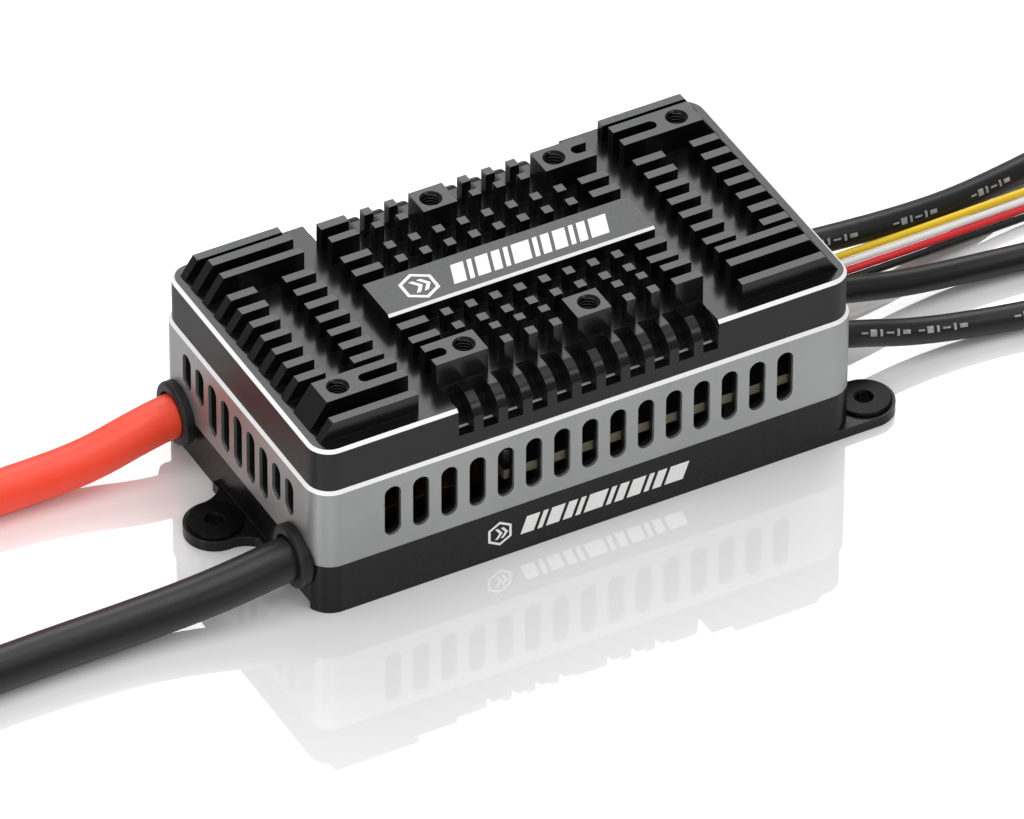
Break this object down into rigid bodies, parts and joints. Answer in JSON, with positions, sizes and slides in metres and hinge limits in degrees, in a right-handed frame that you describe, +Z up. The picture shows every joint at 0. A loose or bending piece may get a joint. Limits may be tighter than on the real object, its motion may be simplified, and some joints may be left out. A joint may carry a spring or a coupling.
{
  "type": "motor speed controller",
  "caption": "Electronic speed controller for a brushless motor: finned heat sink cover, slotted frame, mounting tray with ears, power leads and a signal lead",
  "frame": {"origin": "centre of the tray's underside", "axes": "+X towards the three motor leads, -Y the front long side, +Z up through the finned cover"},
  "size_m": [0.4749, 0.0722, 0.0496],
  "materials": {
    "tray_black": "fine satin",
    "band_silver": "satin anodised",
    "cover_black": "black anodised, satin",
    "bush_steel": "turned",
    "screw_black": "black oxide",
    "grommet_rubber": "satin",
    "board_tan": "laminate",
    "board_black": "black solder mask",
    "standoff": "turned brass",
    "screw_steel": "zinc plated",
    "chip_black": "moulded",
    "pad_grey": "soft matt",
    "shunt": "bare alloy",
    "film": "amber film",
    "can": "bright",
    "sleeve": "shrink sleeve",
    "copper": "bare copper",
    "header_plastic": "nylon",
    "contact": "plated",
    "lead_red": "silicone, satin",
    "lead_black": "silicone, satin",
    "wire_yellow": "silicone, satin",
    "wire_white": "silicone, satin",
    "wire_red": "silicone, satin",
    "wire_black": "silicone, satin",
    "tinned": "tinned",
    "plug_plastic": "moulded"
  },
  "bodies": {
    "root": {"base_tray": "tray_black", "middle_frame": "band_silver", "heatsink_cover": "cover_black", "mounting_bushes": "bush_steel", "case_screws": "screw_black", "input_grommet_positive": "grommet_rubber", "input_grommet_negative": "grommet_rubber", "output_grommet_a": "grommet_rubber", "output_grommet_b": "grommet_rubber", "output_grommet_c": "grommet_rubber", "signal_grommet": "grommet_rubber", "power_board": "board_tan", "control_board": "board_black", "board_standoffs": "standoff", "board_screws": "screw_steel", "mosfets": "chip_black", "thermal_pad": "pad_grey", "current_shunts": "shunt", "control_chips": "chip_black", "board_insulator": "film", "capacitors": "can", "capacitor_sleeves": "sleeve", "capacitor_board": "board_black", "bus_bar_positive": "copper", "bus_bar_negative": "copper", "input_terminals": "copper", "phase_terminals": "copper", "signal_header": "header_plastic", "header_pins": "contact", "power_lead_positive": "lead_red", "power_lead_negative": "lead_black", "phase_lead_a": "lead_black", "phase_lead_b": "lead_black", "phase_lead_c": "lead_black", "signal_wire_yellow": "wire_yellow", "signal_wire_white": "wire_white", "signal_wire_red": "wire_red", "signal_wire_black": "wire_black", "power_tip_positive": "tinned", "power_tip_negative": "tinned", "phase_tip_a": "tinned", "phase_tip_b": "tinned", "phase_tip_c": "tinned", "signal_plug": "plug_plastic", "signal_contacts": "contact"}
  },
  "joints": []
}
